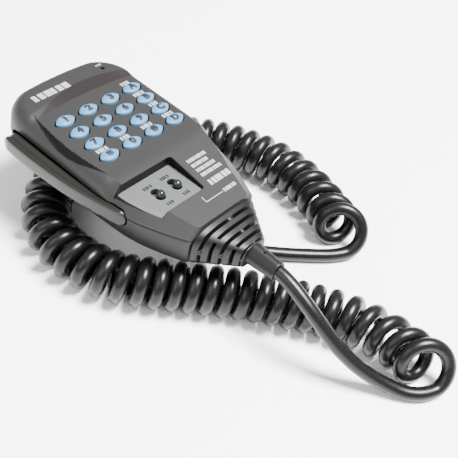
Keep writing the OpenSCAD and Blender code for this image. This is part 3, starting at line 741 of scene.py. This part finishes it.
def glyph(text, size, place, name):
    """Letter as a thin solid that lies on the dome of the key at place."""
    curve = bpy.data.curves.new(name, "FONT")
    curve.body = text
    curve.size = size
    curve.align_x, curve.align_y = "CENTER", "CENTER"
    curve.extrude = 0.12
    curve.offset = 0.075 * size
    curve.resolution_u = 4
    holder = bpy.data.objects.new(name, curve)
    bpy.context.scene.collection.objects.link(holder)
    graph = bpy.context.evaluated_depsgraph_get()
    mesh = bpy.data.meshes.new_from_object(holder.evaluated_get(graph))
    bpy.data.objects.remove(holder)
    bm = bmesh.new()
    bm.from_mesh(mesh)
    # Cut into small cells, so that the flat letter can follow the dome
    for axis, normal in enumerate(((1, 0, 0), (0, 1, 0))):
        for at in np.arange(-2.1, 2.2, 0.42):
            point = [0.0, 0.0, 0.0]
            point[axis] = at
            bmesh.ops.bisect_plane(bm, geom=[*bm.verts, *bm.edges, *bm.faces], plane_co=point, plane_no=normal)
    bm.to_mesh(mesh)
    bm.free()
    co = np.empty(len(mesh.vertices) * 3)
    mesh.vertices.foreach_get("co", co)
    co = co.reshape(-1, 3)
    middle = (co[:, :2].max(0) + co[:, :2].min(0)) / 2
    co[:, :2] -= middle
    co[:, 2] += dome_height(co[:, 0], co[:, 1]) - 0.06
    co[:, :2] += place
    faces = [list(p.vertices) for p in mesh.polygons]
    bpy.data.meshes.remove(mesh)
    return co, faces


def make_keys():
    for place, name, mark in zip(key_places(), KEY_NAMES, KEY_MARKS):
        cap_points, cap_faces = key_cap(place)
        mark_points, mark_faces = glyph(mark, 5.2 if mark == "*" else 4.2, place, "mark_" + name)
        points, faces = gather([(cap_points, cap_faces), (mark_points, mark_faces)])
        obj = new_piece("cap_" + name, points, faces, [key_blue, mark_black], body="key_" + name, slot="key_blue",
                        replaces=["key_" + name], sharp=50, outward=False)
        index = np.zeros(len(faces), np.int32)
        index[len(cap_faces):] = 1
        obj.data.polygons.foreach_set("material_index", index)


make_keys()


# ---------- printed marks ----------

def word(x, y, letters, size=(1.05, 1.8), gap=0.32, height=face_height):
    """Row of upright blocks that stands for a printed word, from its left end, laid on a surface."""
    parts = []
    for k in range(letters):
        wide = size[0] * (0.8 + 0.35 * ((k * 7 + letters) % 3) / 2)
        u = k * (size[0] + gap)
        loop = np.array([(u, 0), (u + wide, 0), (u + wide, size[1]), (u, size[1])]) + (x, y)
        top = height(loop[:, 0], loop[:, 1])
        parts.append(stack([lifted(loop, top - 0.1), lifted(loop, top + 0.05)]))
    return parts


def make_marks():
    above = 3.0
    white = []
    for column, row, letters in ((3, 0, 3), (3, 1, 4), (3, 2, 3), (3, 3, 4), (0, 3, 4), (1, 3, 3), (2, 3, 4)):
        x = KEY_PAD[0] + (column - 1.5) * KEY_PITCH[0] - letters * 0.68
        y = KEY_PAD[1] + (1.5 - row) * KEY_PITCH[1] + above
        white += word(x, y, letters)
    white += word(-17.8, 36.2, 6, size=(2.4, 3.4), gap=0.55)
    white += word(16.2, 39.8, 3, size=(0.7, 0.9), gap=0.25)
    for row, letters in enumerate((9, 8, 9, 10)):
        white += word(5.4, -22.2 - 2.5 * row, letters, size=(0.85, 1.5), gap=0.25)
    white += word(5.4, -34.4, 6, size=(1.5, 2.6), gap=0.35)
    white += word(7.4, -39.4, 6, size=(0.85, 1.5), gap=0.25)
    for low, high in (((-2.4, -38.9), (6.6, -38.6)), ((-2.4, -38.9), (-2.1, -36.2))):
        loop = np.array([low, (high[0], low[1]), high, (low[0], high[1])])
        top = face_height(loop[:, 0], loop[:, 1])
        white.append(stack([lifted(loop, top - 0.1), lifted(loop, top + 0.05)]))
    new_piece("white_marks", *gather(white), mark_white, slot="plate_silver")
    flat = lambda x, y: PLATE_TOP + 0 * x
    black = word(-15.4, -20.4, 4, size=(0.8, 1.5), height=flat) + word(-6.6, -20.4, 4, size=(0.8, 1.5), height=flat)
    black += word(-13.8, -31, 3, size=(0.8, 1.5), height=flat) + word(-5.4, -31, 3, size=(0.8, 1.5), height=flat)
    new_piece("plate_marks", *gather(black), mark_black, slot="part_black")


make_marks()


def plate_lip():
    """Strip that carries the switch plate on, sloping down a little, to the open left side of the recess."""
    right = OUTLINE[(OUTLINE[:, 0] > 5) & (OUTLINE[:, 1] < -5)]
    right = right[np.argsort(right[:, 1])]
    y = np.linspace(RECESS[1] + 0.1, RECESS[2] - 0.1, 30)
    edge = -np.interp(y, right[:, 1], right[:, 0])[:, None]
    x = edge + np.array([3.4, 3.6, 5.9, 5.9])
    z = np.broadcast_to([24.8, 25.12, PLATE_TOP + 0.02, 24.8], x.shape)
    return stack(np.stack([x, np.broadcast_to(y[:, None], x.shape), z], -1))


new_piece("plate_lip", *plate_lip(), plate_silver, slot="plate_silver")


# ---------- switch knobs and buttons ----------

def knob(x):
    """Round stem with a half-ball on top, turned round Z."""
    a = np.radians(np.linspace(0, 88, 10))
    dome = [(1.75 * math.cos(t), 26.3 + 1.75 * math.sin(t)) for t in a]
    return turned([(1.2, 22.85), (1.4, 23), (1.4, 25.6), (1.65, 25.75), *dome], (x, KNOB_Y, 0), count=36)


for name, x in zip(("lock", "dtmf"), KNOB_X):
    new_piece(name + "_ball", *knob(x), knob_black, body=name + "_knob", slot="knob_black", replaces=[name + "_knob"])

for name, x in zip(("up", "down"), BUTTON_X):
    rim = turned([(3.1, 42.4), (3.1, 43.5), (3, 43.6), (3, 47.3), (2.9, 47.7), (2.6, 47.95), (1.8, 47.75), (0.4, 47.6)],
                 (x, 0, BUTTON_Z), axis="y")
    new_piece(name + "_cap", *rim, bar_grey, body=name + "_button", slot="lever_grey", replaces=[name + "_button"])


# ---------- talk bar ----------

def talk_bar():
    """Rounded oblong section carried along Y: its outer side follows the bar's bowed edge, its height follows the
    round ends, and its top is dished by up to 0.55 mm."""
    r = BAR_H / 2
    y = np.concatenate([BAR_ENDS[0] + r * (1 - np.cos(np.linspace(0.12, np.pi / 2, 12))), np.linspace(-19, 33, 60),
                        BAR_ENDS[1] - r + r * np.sin(np.linspace(0, np.pi / 2 - 0.12, 12))])
    outer = np.interp(y, [-23, -18, -10, -2, 6, 14, 22, 30, 37.2],
                      [-27.2, -28.8, -30.6, -31.9, -32.8, -33.3, -33.6, -33.6, -33.2])
    window = np.hanning(9) / np.hanning(9).sum()
    outer = np.convolve(np.pad(outer, 4, mode="edge"), window, mode="valid")
    inner = np.interp(y, [-23, -14, 0, 20, 37.2], [-26, -26.7, -27.7, -28, -27.6])
    end = np.minimum(np.minimum(y - BAR_ENDS[0], BAR_ENDS[1] - y), r)
    tall = np.sqrt(np.clip(r**2 - (r - end) ** 2, 0.02, None))
    rounding = np.clip(1 - end / r, 0, 1) ** 2
    middle = (outer + inner) / 2
    half = (inner - outer) / 2 * (1 - 0.35 * rounding)
    section = superellipse(56, 1, 1, 5)
    x = middle[:, None] + half[:, None] * section[None, :, 0]
    z = BAR_Z + r + tall[:, None] * section[None, :, 1]
    dish = 0.55 * np.exp(-(((section[:, 0] - 0.05) / 0.6) ** 2)) * (section[:, 1] > 0.5)
    z = z - dish[None, :] * np.clip(half, 0, 2.5)[:, None] / 2.5
    return stack(np.stack([x, np.broadcast_to(y[:, None], x.shape), z], -1))


new_piece("bar", *talk_bar(), bar_grey, body="talk_bar", slot="lever_grey", replaces=["ptt_lever"], sharp=40)
arm = [rounded_box((-28.2, HINGE[1] - 1.8, 18.6), (-23.9, HINGE[1] + 1.8, 20.6)),
       rounded_box((-28.2, 0.8, 18.6), (-22.5, 3.2, 20.7))]
tube = [(1.05, 15.85), (2.4, 15.85), (2.4, 20.6), (1.05, 20.6), (1.05, 15.85)]
new_piece("bar_arm", *gather(arm), bar_grey, body="talk_bar", slot="lever_grey")
points, faces = turned(tube, (*HINGE, 0), count=40)
new_piece("bar_hub", points, faces[:-2], bar_grey, body="talk_bar", slot="lever_grey", merge=0.01)


# ---------- boot and sleeve ----------

RIB_PITCH = 3.1
RIBS = 5


def boot_surface():
    """Rounded loops that taper along Y and are pinched in at each slot, except at the bridges, whose places round
    the boot alternate from slot to slot."""
    length = RIB_PITCH * RIBS - 0.4
    t = np.concatenate([[0, 0.02], np.linspace(0.1, length, 190), [length + 0.15]])
    around = 132
    a = 2 * np.pi * np.arange(around) / around
    slot = (t % RIB_PITCH) / RIB_PITCH
    pinch = step(slot, 0.58, 0.63) * (1 - step(slot, 0.95, 0.99)) * (t > 1) * (t < length - 0.3)
    number = np.floor(t / RIB_PITCH)
    bridge = step(np.cos(4 * a[None, :] + np.pi * number[:, None]), 0.86, 0.95)
    depth = 3.0 * pinch[:, None] * (1 - bridge)
    corner = 0.25 * ((t < 0.06) | (t > length))[:, None]
    half_x = (17.2 - 0.726 * t)[:, None] - depth - corner
    half_z = (9.1 - 0.274 * t)[:, None] - depth - corner
    p = 3.3
    c, s = np.cos(a)[None, :], np.sin(a)[None, :]
    scale = (np.abs(c) ** p + np.abs(s) ** p) ** (-1 / p)
    x, z = half_x * c * scale, CORD_Z - 0.6 + 0.04 * t[:, None] + half_z * s * scale
    y = np.broadcast_to(FOOT_Y - 0.5 - t[:, None], x.shape)
    return stack(np.stack([x, y, z], -1))


def sleeve_surface():
    """Nearly round sleeve that thins towards its end, with a small round pit on its top."""
    y = np.concatenate([np.linspace(-60.8, -72.9, 70), [-73.1, -73.3, -73.45, -73.5]])
    radius = np.concatenate([np.linspace(4.6, 3.8, 70), [3.77, 3.7, 3.5, 3.2]])
    a = 2 * np.pi * np.arange(72) / 72
    flat = 1 + 0.03 * np.cos(4 * a)
    pit = np.exp(-(((y[:, None] + 66) / 0.42) ** 2 + ((a[None, :] - np.pi / 2) * 4.2 / 0.42) ** 2) ** 2)
    r = radius[:, None] * flat[None, :] - 1.1 * pit
    return stack(np.stack([r * np.cos(a), np.broadcast_to(y[:, None], r.shape), CORD_Z + r * np.sin(a)], -1))


new_piece("boot", *boot_surface(), boot_rubber, slot="boot_rubber", replaces=["cable_boot"], sharp=60)
new_piece("sleeve", *sleeve_surface(), boot_rubber, slot="boot_rubber", replaces=["boot_sleeve"], sharp=50)


# ---------- CAD parts that stay ----------

KEPT = {
    plate_silver: ["switch_plate"],
    mat_rubber: ["keypad_mat"],
    board_green: ["key_board", "main_board"],
    part_black: ["board_header", "tone_chip", "ptt_switch", "lock_switch", "dtmf_switch", "up_switch", "down_switch",
                 "mic_gasket"],
    steel: ["crystal", "mic_capsule", "ptt_pin", "ptt_spring", "board_screws", "hang_up_button", "hang_up_screw",
            "cord_clamp"],
    screw_dark: ["case_screws"],
    led_white: ["backlight_leds"],
    connector_white: ["cord_connector"],
    wire_red: ["lead_wires", "ptt_plunger"],
    cord_black: ["inner_cord", "plug_boot"],
    plug_clear: ["plug_body", "plug_latch"],
    contact_gold: ["plug_contacts"],
}
for material, names in KEPT.items():
    for name in names:
        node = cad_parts[name]
        node.data.materials.clear()
        node.data.materials.append(material)


# ---------- floor and light ----------

def make_stage():
    mesh = bpy.data.meshes.new("floor")
    reach, level = 3.0, (FLOOR_Z - 0.05) * MM
    mesh.from_pydata([(-reach, -reach, level), (reach, -reach, level), (reach, reach, level), (-reach, reach, level)],
                     [], [(0, 1, 2, 3)])
    floor = bpy.data.objects.new("floor", mesh)
    paint = bpy.data.materials.new("floor")
    paint.use_nodes = True
    shader = paint.node_tree.nodes["Principled BSDF"]
    shader.inputs["Base Color"].default_value = (0.92, 0.92, 0.92, 1)
    shader.inputs["Roughness"].default_value = 0.6
    mesh.materials.append(paint)
    bpy.context.scene.collection.objects.link(floor)


def lamp(name, place, size, power, target=(0.01, -0.03, 0.0)):
    """Square soft light at place, facing target."""
    data = bpy.data.lights.new(name, "AREA")
    data.size = size
    data.energy = power
    light = bpy.data.objects.new(name, data)
    light.location = place
    light.rotation_euler = (Vector(target) - Vector(place)).to_track_quat("-Z", "Y").to_euler()
    bpy.context.scene.collection.objects.link(light)


def light_scene():
    world = bpy.data.worlds.new("soft_room")
    world.use_nodes = True
    sky = world.node_tree.nodes["Background"]
    sky.inputs["Color"].default_value = (1, 1, 1, 1)
    sky.inputs["Strength"].default_value = 0.95
    bpy.context.scene.world = world
    lamp("key_light", (0.22, -0.42, 1.2), 0.45, 125)
    lamp("fill_light", (-0.9, 0.1, 0.8), 0.8, 8)


make_stage()
light_scene()
